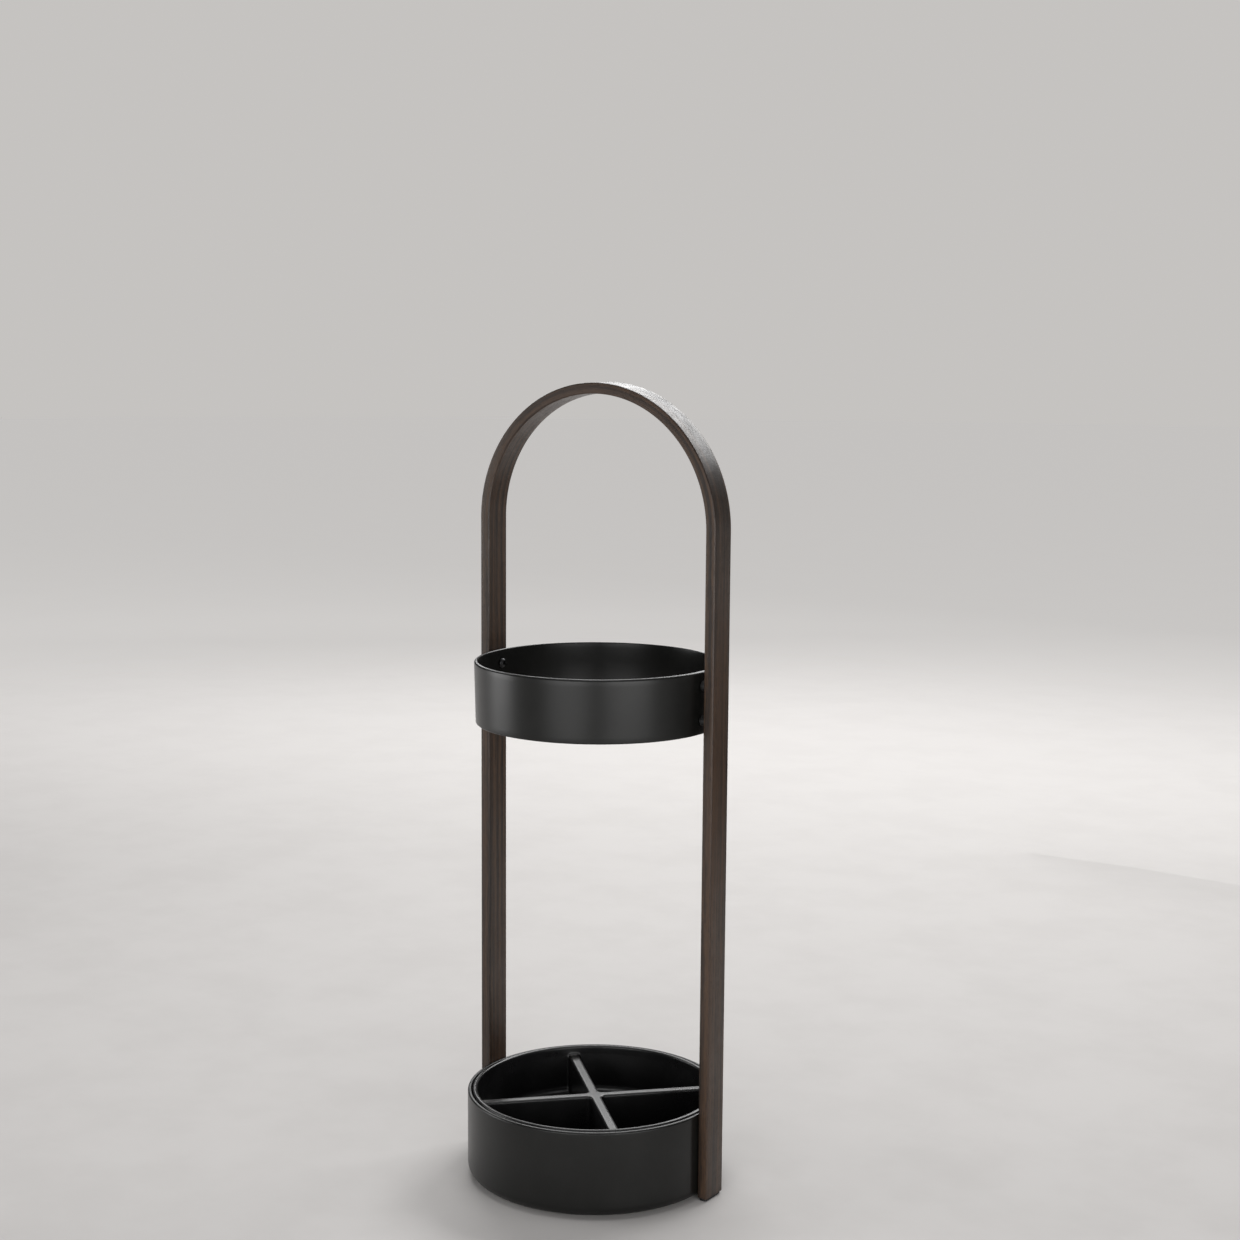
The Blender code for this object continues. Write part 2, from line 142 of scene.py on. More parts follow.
def drill(piece, radius, holes, wide_radius=None, sides=32):
    """Cut round holes, each from a start point to an end point."""
    bm = bmesh.new()
    for start, end in holes:
        axis = Vector(end) - Vector(start)
        middle = Matrix.Translation((Vector(start) + Vector(end)) / 2)
        turn = axis.to_track_quat("Z", "Y").to_matrix().to_4x4()
        bmesh.ops.create_cone(bm, cap_ends=True, segments=sides, radius1=wide_radius or radius,
                              radius2=radius, depth=axis.length, matrix=middle @ turn)
    cut(piece, bm)


def store(piece, name, values):
    """Keep one value or vector for each point of a piece, for its material to read."""
    values = np.asarray(values, dtype=np.float32)
    kind, field = ("FLOAT", "value") if values.ndim == 1 else ("FLOAT_VECTOR", "vector")
    layer = piece.data.attributes.new(name, kind, "POINT")
    layer.data.foreach_set(field, values.ravel())


def points_of(piece):
    return np.array([vert.co for vert in piece.data.vertices])


strip_low, strip_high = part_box("bent_frame")
strip_half_width = (strip_high.y - strip_low.y) / 2
strip_middle_y = (strip_high.y + strip_low.y) / 2
bend_radius = strip_high.x - STRIP_THICKNESS / 2
bend_centre_z = strip_high.z - strip_high.x
leg_inner_x = strip_high.x - STRIP_THICKNESS

half_thickness = STRIP_THICKNESS / 2
strip_section = eased_outline(
    [(-half_thickness, -strip_half_width, STRIP_EASING), (half_thickness, -strip_half_width, STRIP_EASING),
     (half_thickness, strip_half_width, STRIP_EASING), (-half_thickness, strip_half_width, STRIP_EASING)],
    closed=True)

stations = [(bend_radius, strip_low.z, 0.0, FOOT_EASING)]
for step in range(LEG_STEPS):
    rise = FOOT_EASING + (bend_centre_z - strip_low.z - FOOT_EASING) * step / LEG_STEPS
    stations.append((bend_radius, strip_low.z + rise, 0.0, 0.0))
for step in range(BEND_STEPS // 2):
    angle = math.pi * step / BEND_STEPS
    x, z = bend_radius * math.cos(angle), bend_centre_z + bend_radius * math.sin(angle)
    stations.append((x, z, angle, 0.0))
mirrored = [(-x, z, math.pi - angle, pull) for x, z, angle, pull in reversed(stations)]
stations += [(0.0, bend_centre_z + bend_radius, math.pi / 2, 0.0)] + mirrored

bm = bmesh.new()
eased = bm.verts.layers.float.new("eased_edge")
loops = []
for x, z, angle, pull in stations:
    loop = []
    for point, mark in strip_section:
        out = point.x * (1 - pull / half_thickness)
        across = strip_middle_y + point.y * (1 - pull / strip_half_width)
        vert = bm.verts.new((x + out * math.cos(angle), across, z + out * math.sin(angle)))
        vert[eased] = max(mark, pull / FOOT_EASING)
        loop.append(vert)
    loops.append(loop)
for below, above in zip(loops, loops[1:]):
    for k in range(len(below)):
        bm.faces.new((below[k - 1], below[k], above[k], above[k - 1]))
bm.faces.new(loops[0])
bm.faces.new(loops[-1])
wood_frame = piece_of("wood_frame", bm)

SIDES = {"left": -1, "right": 1}
LEVELS = ("upper", "lower")
screw_z = {}
for row in ("ring", "tub"):
    for level in LEVELS:
        low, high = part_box(f"{row}_screw_left_{level}")
        screw_z[row, level] = (low.z + high.z) / 2
drill(wood_frame, POCKET_RADIUS,
      [((side * (leg_inner_x - TOOL_OVERRUN), 0, z), (side * (leg_inner_x + POCKET_DEPTH), 0, z))
       for side in SIDES.values() for z in screw_z.values()])

places = points_of(wood_frame)
in_bend = places[:, 2] > bend_centre_z
bend_angle = np.arctan2(np.maximum(places[:, 2] - bend_centre_z, 0), places[:, 0])
strip_length = 2 * bend_centre_z + math.pi * bend_radius
along_leg = np.where(places[:, 0] > 0, places[:, 2], strip_length - places[:, 2])
along_bend = bend_centre_z + bend_angle * bend_radius
radial = np.hypot(places[:, 0], places[:, 2] - bend_centre_z) - bend_radius
strip_place = np.stack([np.where(in_bend, along_bend, along_leg), places[:, 1] - strip_middle_y,
                        np.where(in_bend, radial, np.abs(places[:, 0]) - bend_radius)], axis=1)
store(wood_frame, "strip_place", strip_place)


def node(tree, kind, values=None, **settings):
    """Add a node. Values fill its inputs, by a number, a colour or another node's output."""
    made = tree.nodes.new("ShaderNode" + kind)
    for name, setting in settings.items():
        setattr(made, name, setting)
    for socket, value in (values or {}).items():
        if isinstance(value, bpy.types.NodeSocket):
            tree.links.new(value, made.inputs[socket])
        else:
            made.inputs[socket].default_value = value
    return made


def scaled(tree, vector, factors):
    return node(tree, "VectorMath", {0: vector, 1: factors}, operation="MULTIPLY").outputs[0]


def noise(tree, vector, scale=1.0, detail=2.0, roughness=0.5):
    """A soft random pattern between 0 and 1."""
    values = {"Vector": vector, "Scale": scale, "Detail": detail, "Roughness": roughness}
    return node(tree, "TexNoise", values).outputs["Fac"]


def reach(tree, value, start, end, low=0.0, high=1.0):
    """Carry a value from start..end over to low..high, eased at both ends."""
    values = {"Value": value, "From Min": start, "From Max": end, "To Min": low, "To Max": high}
    return node(tree, "MapRange", values, interpolation_type="SMOOTHSTEP").outputs[0]


def sums(tree, operation, first, second):
    return node(tree, "Math", {0: first, 1: second}, operation=operation).outputs[0]


def blend(tree, factor, first, second, kind="MIX"):
    """Mix two colours."""
    values = {0: factor, 6: first, 7: second}
    return node(tree, "Mix", values, data_type="RGBA", blend_type=kind).outputs[2]


def new_finish(name, **fixed):
    """A material with its shader, and the sockets that stay the same all over."""
    finish = bpy.data.materials.new(name)
    finish.use_nodes = True
    tree = finish.node_tree
    shader = tree.nodes["Principled BSDF"]
    for socket, value in fixed.items():
        shader.inputs[socket.replace("_", " ")].default_value = value
    return finish, tree, shader


def set_looks(tree, shader, colour, roughness, height, strength, depth):
    """Join a finish's colour, roughness and relief to its shader."""
    bump = node(tree, "Bump", {"Strength": strength, "Distance": depth, "Height": height})
    tree.links.new(colour, shader.inputs["Base Color"])
    tree.links.new(roughness, shader.inputs["Roughness"])
    tree.links.new(bump.outputs[0], shader.inputs["Normal"])


def new_group(name, inputs, outputs):
    """An effect that several finishes share, with named inputs and outputs."""
    group = bpy.data.node_groups.new(name, "ShaderNodeTree")
    for label, kind, value in inputs:
        socket = group.interface.new_socket(label, in_out="INPUT", socket_type=kind)
        if value is not None:
            socket.default_value = value
    for label, kind in outputs:
        group.interface.new_socket(label, in_out="OUTPUT", socket_type=kind)
    return group, group.nodes.new("NodeGroupInput").outputs, group.nodes.new("NodeGroupOutput").inputs


NUMBER, PLACE = "NodeSocketFloat", "NodeSocketVector"

# Sheen that differs a little from patch to patch, as on anything that has been handled.
uneven_sheen, given, out = new_group(
    "uneven_sheen",
    [("Place", PLACE, None), ("Patches", NUMBER, 20.0),
     ("Smoothest", NUMBER, 0.35), ("Roughest", NUMBER, 0.5)],
    [("Roughness", NUMBER)])
broad = noise(uneven_sheen, given["Place"], given["Patches"], 3.0, 0.55)
close_scale = sums(uneven_sheen, "MULTIPLY", given["Patches"], 7.0)
close = noise(uneven_sheen, given["Place"], close_scale, 2.0)
mixed = sums(uneven_sheen, "MULTIPLY_ADD", close, 0.35)
uneven_sheen.links.new(sums(uneven_sheen, "MULTIPLY", broad, 0.65), mixed.node.inputs[2])
even = node(uneven_sheen, "MapRange", {"Value": mixed, "From Min": 0.36, "From Max": 0.64,
                                       "To Min": given["Smoothest"], "To Max": given["Roughest"]})
uneven_sheen.links.new(even.outputs[0], out["Roughness"])

# Rounded edges rubbed by use: broken patches that follow the easing mark of the mesh.
rubbed_edge, given, out = new_group(
    "rubbed_edge",
    [("Edge", NUMBER, 0.0), ("Place", PLACE, None), ("Scale", NUMBER, 90.0), ("Amount", NUMBER, 0.5)],
    [("Mask", NUMBER)])
patches = noise(rubbed_edge, given["Place"], given["Scale"], 4.0, 0.65)
spots = reach(rubbed_edge, patches, 0.45, 0.70)
worn = sums(rubbed_edge, "MULTIPLY", spots, given["Edge"])
rubbed_edge.links.new(sums(rubbed_edge, "MULTIPLY", worn, given["Amount"]), out["Mask"])

STAIN_DARK = (0.0105, 0.0060, 0.0036, 1)
STAIN_LIGHT = (0.0720, 0.0395, 0.0215, 1)
STAIN_WARM = (0.0560, 0.0275, 0.0135, 1)
# The dark of the pores, also used as painted shade on the strip's eased edges.
PORE_AND_PAINTED_EDGE_SHADE = (0.0075, 0.0048, 0.0036, 1)

stained_wood, tree, shader = new_finish("stained_wood", Specular_IOR_Level=0.42, Coat_Weight=0.13,
                                        Coat_Roughness=0.22)
place = node(tree, "Attribute", attribute_name="strip_place").outputs["Vector"]
edge = node(tree, "Attribute", attribute_name="eased_edge").outputs["Fac"]
drift = node(tree, "TexNoise", {"Vector": scaled(tree, place, (5.0, 40.0, 40.0)), "Detail": 2.0})
drift = node(tree, "VectorMath", {0: drift.outputs["Color"], 1: (0.5, 0.5, 0.5)}, operation="SUBTRACT")
drift = scaled(tree, drift.outputs[0], (0.0, 0.0028, 0.0028))
grain_place = node(tree, "VectorMath", {0: place, 1: drift}, operation="ADD").outputs[0]
growth = noise(tree, scaled(tree, grain_place, (2.2, 300.0, 240.0)), 1.0, 3.0)
fibre = noise(tree, scaled(tree, grain_place, (15.0, 1700.0, 1700.0)), 1.0, 3.0, 0.6)
pores = noise(tree, scaled(tree, grain_place, (120.0, 3600.0, 3600.0)), 1.0, 1.0)
pores = reach(tree, pores, 0.57, 0.68)
tone = sums(tree, "ADD", sums(tree, "MULTIPLY", growth, 0.6), sums(tree, "MULTIPLY", fibre, 0.4))
tone = reach(tree, tone, 0.39, 0.64)
colour = blend(tree, tone, STAIN_DARK, STAIN_LIGHT)
warmth = noise(tree, scaled(tree, place, (4.0, 60.0, 60.0)), 1.0, 2.0)
colour = blend(tree, reach(tree, warmth, 0.45, 0.75, 0.0, 0.45), colour, STAIN_WARM)
colour = blend(tree, sums(tree, "MULTIPLY", pores, 0.75), colour, PORE_AND_PAINTED_EDGE_SHADE)
# Painted shade: the eased edges are darkened towards the pore colour, as if the rounded edges lay in
# shadow.
colour = blend(tree, sums(tree, "MULTIPLY", edge, 0.35), colour, PORE_AND_PAINTED_EDGE_SHADE)
rub = node(tree, "Group", {"Edge": edge, "Place": place, "Scale": 60.0, "Amount": 0.35},
           node_tree=rubbed_edge)
colour = blend(tree, rub.outputs["Mask"], colour, STAIN_LIGHT)
sheen = node(tree, "Group", {"Place": place, "Patches": 22.0, "Smoothest": 0.36, "Roughest": 0.50},
             node_tree=uneven_sheen).outputs["Roughness"]
rough = sums(tree, "ADD", sheen, sums(tree, "MULTIPLY", pores, 0.12))
height = sums(tree, "SUBTRACT", sums(tree, "MULTIPLY", fibre, 0.5), pores)
set_looks(tree, shader, colour, rough, height, 0.35, 0.00012)

wood_frame.data.materials.append(stained_wood)
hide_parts("bent_frame")
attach(wood_frame, "stand")

# ---- Leg inserts ------------------------------------------------------------------------
# Turned brass sleeves, threaded inside and glued into the blind pockets of the legs, two
# for the ring and two for the tub on each leg.
BRASS_BRIGHT = (0.62, 0.43, 0.17, 1)
BRASS_DULL = (0.34, 0.22, 0.09, 1)

brass, tree, shader = new_finish("turned_brass", Metallic=1.0)
place = node(tree, "TexCoord").outputs["Object"]
turning = noise(tree, scaled(tree, place, (9000.0, 400.0, 400.0)), 1.0, 2.0)
tarnish = noise(tree, place, 700.0, 3.0)
colour = blend(tree, reach(tree, tarnish, 0.4, 0.7), BRASS_BRIGHT, BRASS_DULL)
rough = reach(tree, tarnish, 0.35, 0.7, 0.28, 0.48)
set_looks(tree, shader, colour, rough, turning, 0.3, 0.00005)

for row in ("ring", "tub"):
    for side_name in SIDES:
        for level in LEVELS:
            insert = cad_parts[f"{row}_insert_{side_name}_{level}"]
            insert.data.materials.clear()
            insert.data.materials.append(brass)

# ---- Leg glides -------------------------------------------------------------------------
# Small black nylon slabs under each leg, moulded with eased edges and tacked to the end
# grain, so that the wood never touches a wet floor.
GLIDE_EASING = 0.0005
GLIDE_CORNER = 0.0015
NYLON_DARK = (0.012, 0.012, 0.012, 1)
NYLON_SCUFFED = (0.045, 0.045, 0.044, 1)

# Fine moulded or sprayed relief, soft bumps under a sharper grit.
fine_relief, given, out = new_group(
    "fine_relief",
    [("Place", PLACE, None), ("Bumps", NUMBER, 800.0), ("Grit", NUMBER, 0.3)],
    [("Height", NUMBER)])
soft = noise(fine_relief, given["Place"], given["Bumps"], 2.0)
sharp_scale = sums(fine_relief, "MULTIPLY", given["Bumps"], 4.0)
sharp = noise(fine_relief, given["Place"], sharp_scale, 1.0)
gritty = node(fine_relief, "Math", {0: sharp, 1: given["Grit"], 2: soft}, operation="MULTIPLY_ADD")
fine_relief.links.new(gritty.outputs[0], out["Height"])

nylon, tree, shader = new_finish("black_nylon")
place = node(tree, "TexCoord").outputs["Object"]
scuffs = noise(tree, scaled(tree, place, (600.0, 180.0, 600.0)), 1.0, 4.0, 0.65)
colour = blend(tree, reach(tree, scuffs, 0.55, 0.75, 0.0, 0.6), NYLON_DARK, NYLON_SCUFFED)
rough = reach(tree, scuffs, 0.4, 0.7, 0.45, 0.62)
relief = node(tree, "Group", {"Place": place, "Bumps": 1500.0, "Grit": 0.4}, node_tree=fine_relief)
set_looks(tree, shader, colour, rough, relief.outputs["Height"], 0.3, 0.00006)


def slab(name, outline, low, high, easing):
    """A flat plate on an outline, with its upper and lower edges eased."""
    bm = bmesh.new()
    half_x = max(point.x for point, _ in outline)
    half_y = max(point.y for point, _ in outline)
    levels = []
    for step in range(4):
        angle = math.pi / 2 * step / 3
        levels.append((low + easing * (1 - math.cos(angle)), easing * (1 - math.sin(angle))))
    levels += [(high + low - z, pull) for z, pull in reversed(levels)]
    loops = [[bm.verts.new((point.x * (1 - pull / half_x), point.y * (1 - pull / half_y), z))
              for point, _ in outline] for z, pull in levels]
    for below, above in zip(loops, loops[1:]):
        for k in range(len(below)):
            bm.faces.new((below[k - 1], below[k], above[k], above[k - 1]))
    bm.faces.new(loops[0])
    bm.faces.new(loops[-1])
    return piece_of(name, bm)


for side_name in SIDES:
    low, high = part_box(f"leg_glide_{side_name}")
    half_x, half_y = (high.x - low.x) / 2, (high.y - low.y) / 2
    outline = eased_outline([(-half_x, -half_y, GLIDE_CORNER), (half_x, -half_y, GLIDE_CORNER),
                             (half_x, half_y, GLIDE_CORNER), (-half_x, half_y, GLIDE_CORNER)], closed=True)
    glide = slab(f"nylon_glide_{side_name}", outline, low.z, high.z, GLIDE_EASING)
    glide.location = ((low.x + high.x) / 2, (low.y + high.y) / 2, 0)
    glide.data.materials.append(nylon)
    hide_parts(f"leg_glide_{side_name}")
    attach(glide, "stand")

# ---- Upper ring -------------------------------------------------------------------------
# A steel band, rolled to a slightly tapered ring, welded and ground, its top edge turned
# over softly. Satin black powder coat, baked on. Two holes at each leg take the screws.
RING_WALL = 0.0030
RING_TAPER = 0.0012
RING_FOOT_INNER_EASING = 0.0008
RING_FOOT_OUTER_EASING = 0.0010
RING_TOP_OUTER_EASING = 0.0018
RING_TOP_INNER_EASING = 0.0010
RING_SPAN = 0.004             # the band's faces are split to this height
SCREW_HOLE_RADIUS = 0.0023
ROUND_STEPS = 288
COAT_BLACK = (0.0040, 0.0041, 0.0036, 1)
COAT_GREY = (0.0070, 0.0071, 0.0064, 1)
COAT_RUBBED = (0.0600, 0.0600, 0.0580, 1)
DUST_COLOUR = (0.1500, 0.1400, 0.1250, 1)


def turned(name, outline, closed, steps=ROUND_STEPS):
    """Spin an outline of (radius, height) points a full turn about Z."""
    bm = bmesh.new()
    eased = bm.verts.layers.float.new("eased_edge")
    rings = []
    for point, mark in outline:
        angles = [math.tau * k / steps for k in range(steps)] if point.x > 1e-6 else [0.0]
        ring = [bm.verts.new((point.x * math.cos(a), point.x * math.sin(a), point.y)) for a in angles]
        for vert in ring:
            vert[eased] = mark
        rings.append(ring)
    pairs = list(zip(rings, rings[1:]))
    if closed:
        pairs.append((rings[-1], rings[0]))
    for first, second in pairs:
        for k in range(steps):
            corners = [first[k % len(first)], first[(k + 1) % len(first)],
                       second[(k + 1) % len(second)], second[k % len(second)]]
            bm.faces.new(list(dict.fromkeys(corners)))
    return piece_of(name, bm)


ring_low, ring_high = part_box("upper_ring")
ring_top_radius = ring_high.x
ring_bottom_radius = ring_high.x - RING_TAPER
ring_outline = eased_outline(
    [(ring_bottom_radius - RING_WALL, ring_low.z, RING_FOOT_INNER_EASING),
     (ring_bottom_radius, ring_low.z, RING_FOOT_OUTER_EASING),
     (ring_top_radius, ring_high.z, RING_TOP_OUTER_EASING),
     (ring_top_radius - RING_WALL, ring_high.z, RING_TOP_INNER_EASING)],
    closed=True, span=RING_SPAN)
ring_band = turned("ring_band", ring_outline, closed=True)
drill(ring_band, SCREW_HOLE_RADIUS,
      [((side * (ring_bottom_radius - 2 * RING_WALL), 0, screw_z["ring", level]),
        (side * leg_inner_x, 0, screw_z["ring", level]))
       for side in SIDES.values() for level in LEVELS])

# Dust that settles on whatever faces up.
settled_dust, given, out = new_group(
    "settled_dust",
    [("Place", PLACE, None), ("Scale", NUMBER, 60.0), ("Amount", NUMBER, 0.1)],
    [("Mask", NUMBER)])
normal = node(settled_dust, "NewGeometry").outputs["Normal"]
facing = node(settled_dust, "SeparateXYZ", {0: normal}).outputs["Z"]
upward = reach(settled_dust, facing, 0.55, 1.0)
drifts = reach(settled_dust, noise(settled_dust, given["Place"], given["Scale"], 5.0, 0.65), 0.35, 0.75)
lying = sums(settled_dust, "MULTIPLY", upward, drifts)
settled_dust.links.new(sums(settled_dust, "MULTIPLY", lying, given["Amount"]), out["Mask"])

powder_coat, tree, shader = new_finish("black_powder_coat", Specular_IOR_Level=0.37)
place = node(tree, "TexCoord").outputs["Object"]
edge = node(tree, "Attribute", attribute_name="eased_edge").outputs["Fac"]
cloud = noise(tree, place, 45.0, 3.0)
speckle = noise(tree, place, 1600.0, 2.0)
tone = sums(tree, "ADD", sums(tree, "MULTIPLY", cloud, 0.5), sums(tree, "MULTIPLY", speckle, 0.5))
colour = blend(tree, reach(tree, tone, 0.4, 0.66), COAT_BLACK, COAT_GREY)
rub = node(tree, "Group", {"Edge": edge, "Place": place, "Scale": 120.0, "Amount": 0.25},
           node_tree=rubbed_edge)
colour = blend(tree, rub.outputs["Mask"], colour, COAT_RUBBED)
dust = node(tree, "Group", {"Place": place, "Scale": 70.0, "Amount": 0.05}, node_tree=settled_dust)
colour = blend(tree, dust.outputs["Mask"], colour, DUST_COLOUR)
sheen = node(tree, "Group", {"Place": place, "Patches": 16.0, "Smoothest": 0.30, "Roughest": 0.33},
             node_tree=uneven_sheen).outputs["Roughness"]
relief = node(tree, "Group", {"Place": place, "Bumps": 1100.0, "Grit": 0.35}, node_tree=fine_relief)
set_looks(tree, shader, colour, sheen, relief.outputs["Height"], 0.12, 0.00005)

ring_band.data.materials.append(powder_coat)
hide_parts("upper_ring")
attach(ring_band, "stand")

# ---- Ring spacers -----------------------------------------------------------------------
# Turned black nylon sleeves, one round each ring screw, that hold the ring off the legs.
SPACER_RADIUS = 0.0040
SPACER_EASING = 0.0005


def facing_axis(side):
    """Turn +Z from a leg towards the middle of the stand."""
    return (0, -side * math.pi / 2, 0)


for side_name, side in SIDES.items():
    for level in LEVELS:
        low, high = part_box(f"ring_spacer_{side_name}_{level}")
        length = high.x - low.x
        outline = eased_outline([(SCREW_HOLE_RADIUS, 0, 0), (SPACER_RADIUS, 0, SPACER_EASING),
                                 (SPACER_RADIUS, length, SPACER_EASING), (SCREW_HOLE_RADIUS, length, 0)],
                                closed=True)
        spacer = turned(f"nylon_spacer_{side_name}_{level}", outline, closed=True, steps=48)
        spacer.location = (high.x if side > 0 else low.x, 0, screw_z["ring", level])
        spacer.rotation_euler = facing_axis(side)
        spacer.data.materials.append(nylon)
        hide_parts(f"ring_spacer_{side_name}_{level}")
        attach(spacer, "stand")

# ---- Ring screws ------------------------------------------------------------------------
# Button head screws with a hexagon socket, blackened steel, put in from inside the ring
# through band and spacer into the legs' inserts.
SCREW_RADIUS = 0.0020
SCREW_HEAD_RADIUS = 0.0038
SCREW_HEAD_HEIGHT = 0.0022
SCREW_HEAD_RIM = 0.0006
SCREW_RIM_EASING = 0.0003
SCREW_CROWN_RADIUS = 0.0024
SCREW_CROWN_EASING = 0.0012
SCREW_TIP_EASING = 0.0004
SOCKET_RADIUS = 0.00144
SOCKET_DEPTH = 0.0012
STEEL_BLACKENED = (0.035, 0.035, 0.037, 1)
STEEL_BRIGHT = (0.20, 0.20, 0.20, 1)

blackened_steel, tree, shader = new_finish("blackened_steel", Metallic=0.9)
place = node(tree, "TexCoord").outputs["Object"]
blotches = noise(tree, place, 900.0, 4.0, 0.6)
colour = blend(tree, reach(tree, blotches, 0.52, 0.75, 0.0, 0.5), STEEL_BLACKENED, STEEL_BRIGHT)
sheen = node(tree, "Group", {"Place": place, "Patches": 500.0, "Smoothest": 0.30, "Roughest": 0.44},
             node_tree=uneven_sheen).outputs["Roughness"]
relief = node(tree, "Group", {"Place": place, "Bumps": 2500.0, "Grit": 0.5}, node_tree=fine_relief)
set_looks(tree, shader, colour, sheen, relief.outputs["Height"], 0.2, 0.00003)


def hexagon_tool(radius, low, high):
    """The shape of a hexagon key, standing on Z."""
    bm = bmesh.new()
    bmesh.ops.create_cone(bm, cap_ends=True, segments=6, radius1=radius, radius2=radius, depth=high - low,
                          matrix=Matrix.Translation((0, 0, (low + high) / 2)))
    return bm


def button_screw(name, length):
    """A button head screw along Z, its head above the origin."""
    outline = eased_outline(
        [(0, -length, 0), (SCREW_RADIUS, -length, SCREW_TIP_EASING), (SCREW_RADIUS, 0, 0),
         (SCREW_HEAD_RADIUS, 0, 0), (SCREW_HEAD_RADIUS, SCREW_HEAD_RIM, SCREW_RIM_EASING),
         (SCREW_CROWN_RADIUS, SCREW_HEAD_HEIGHT, SCREW_CROWN_EASING), (0, SCREW_HEAD_HEIGHT, 0)],
        closed=False)
    screw = turned(name, outline, closed=False, steps=48)
    socket_floor = SCREW_HEAD_HEIGHT - SOCKET_DEPTH
    cut(screw, hexagon_tool(SOCKET_RADIUS, socket_floor, SCREW_HEAD_HEIGHT + TOOL_OVERRUN))
    return screw


def fit_screws(row):
    """Put a button screw in place of each of a row's four CAD screws."""
    for side_name, side in SIDES.items():
        for level in LEVELS:
            low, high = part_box(f"{row}_screw_{side_name}_{level}")
            length = high.x - low.x - SCREW_HEAD_HEIGHT
            screw = button_screw(f"{row}_button_screw_{side_name}_{level}", length)
            head_x = low.x if side > 0 else high.x
            screw.location = (head_x + side * SCREW_HEAD_HEIGHT, 0, screw_z[row, level])
            screw.rotation_euler = facing_axis(side)
            screw.data.materials.append(blackened_steel)
            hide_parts(f"{row}_screw_{side_name}_{level}")
            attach(screw, "stand")


fit_screws("ring")

# ---- Base tub ---------------------------------------------------------------------------
# A deep-drawn steel tub with a rounded bottom edge and a rolled rim, pressed flat where
# each leg is bolted on. Same satin black powder coat as the ring.
TUB_WALL = 0.0030
TUB_FLOOR = 0.0030
TUB_BOTTOM_EDGE = 0.0084
TUB_RIM_OUTER_EASING = 0.0016
TUB_RIM_INNER_EASING = 0.0008
COUNTERSUNK_HEAD_RADIUS = 0.0046
COUNTERSUNK_HEAD_HEIGHT = 0.0024
COUNTERSUNK_SHANK_RADIUS = 0.0025
COUNTERSUNK_RIM_EASING = 0.0002
FIT_GAP = 0.0003

tub_low, tub_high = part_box("base_tub")
tub_radius = tub_high.y
tub_flat_x = tub_high.x
tub_outline = eased_outline(
    [(0, tub_low.z, 0), (tub_radius, tub_low.z, TUB_BOTTOM_EDGE),
     (tub_radius, tub_high.z, TUB_RIM_OUTER_EASING),
     (tub_radius - TUB_WALL, tub_high.z, TUB_RIM_INNER_EASING),
     (tub_radius - TUB_WALL, tub_low.z + TUB_FLOOR, TUB_BOTTOM_EDGE - TUB_FLOOR),
     (0, tub_low.z + TUB_FLOOR, 0)],
    closed=False, arc_steps=9)
tub_shell = turned("tub_shell", tub_outline, closed=False)
for vert in tub_shell.data.vertices:
    vert.co.x = max(-tub_flat_x, min(tub_flat_x, vert.co.x))
drill(tub_shell, SCREW_HOLE_RADIUS,
      [((side * (tub_radius - 3 * TUB_WALL), 0, screw_z["tub", level]),
        (side * (leg_inner_x + TOOL_OVERRUN), 0, screw_z["tub", level]))
       for side in SIDES.values() for level in LEVELS])


def ballast_places():
    """The number and place of each ballast screw on the tub's floor."""
    for number in range(1, 4):
        low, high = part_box(f"ballast_screw_{number}")
        yield number, (low.x + high.x) / 2, (low.y + high.y) / 2


drill(tub_shell, COUNTERSUNK_SHANK_RADIUS + FIT_GAP,
      [((x, y, tub_low.z - TOOL_OVERRUN), (x, y, tub_low.z + TUB_FLOOR + TOOL_OVERRUN))
       for _, x, y in ballast_places()])
drill(tub_shell, COUNTERSUNK_SHANK_RADIUS + FIT_GAP,
      [((x, y, tub_low.z - FIT_GAP), (x, y, tub_low.z + COUNTERSUNK_HEAD_HEIGHT))
       for _, x, y in ballast_places()],
      wide_radius=COUNTERSUNK_HEAD_RADIUS + FIT_GAP)

tub_shell.data.materials.append(powder_coat)
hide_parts("base_tub")
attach(tub_shell, "stand")

# ---- Tub screws -------------------------------------------------------------------------
# The same blackened button screws, shorter, from inside the tub into the legs.
fit_screws("tub")

# ---- Foot pads --------------------------------------------------------------------------
# Four soft black rubber discs, punched from sheet and stuck under the tub.
PAD_FOOT_EASING = 0.0006
PAD_TOP_EASING = 0.0002
PAD_SPAN = 0.003
RUBBER_DARK = (0.020, 0.020, 0.020, 1)
RUBBER_BLOOM = (0.070, 0.068, 0.064, 1)

soft_rubber, tree, shader = new_finish("soft_rubber", Specular_IOR_Level=0.35)
place = node(tree, "TexCoord").outputs["Object"]
bloom = noise(tree, place, 260.0, 4.0, 0.6)
colour = blend(tree, reach(tree, bloom, 0.45, 0.75), RUBBER_DARK, RUBBER_BLOOM)
rough = reach(tree, bloom, 0.4, 0.7, 0.72, 0.88)
relief = node(tree, "Group", {"Place": place, "Bumps": 1800.0, "Grit": 0.6}, node_tree=fine_relief)
set_looks(tree, shader, colour, rough, relief.outputs["Height"], 0.5, 0.00010)

for number in range(1, 5):
    low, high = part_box(f"foot_pad_{number}")
    radius, thickness = (high.x - low.x) / 2, high.z - low.z
    outline = eased_outline(
        [(0, 0, 0), (radius, 0, PAD_FOOT_EASING), (radius, thickness, PAD_TOP_EASING), (0, thickness, 0)],
        closed=False, span=PAD_SPAN)
    pad = turned(f"rubber_pad_{number}", outline, closed=False, steps=64)
    pad.location = ((low.x + high.x) / 2, (low.y + high.y) / 2, low.z)
    pad.data.materials.append(soft_rubber)
    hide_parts(f"foot_pad_{number}")
    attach(pad, "stand")

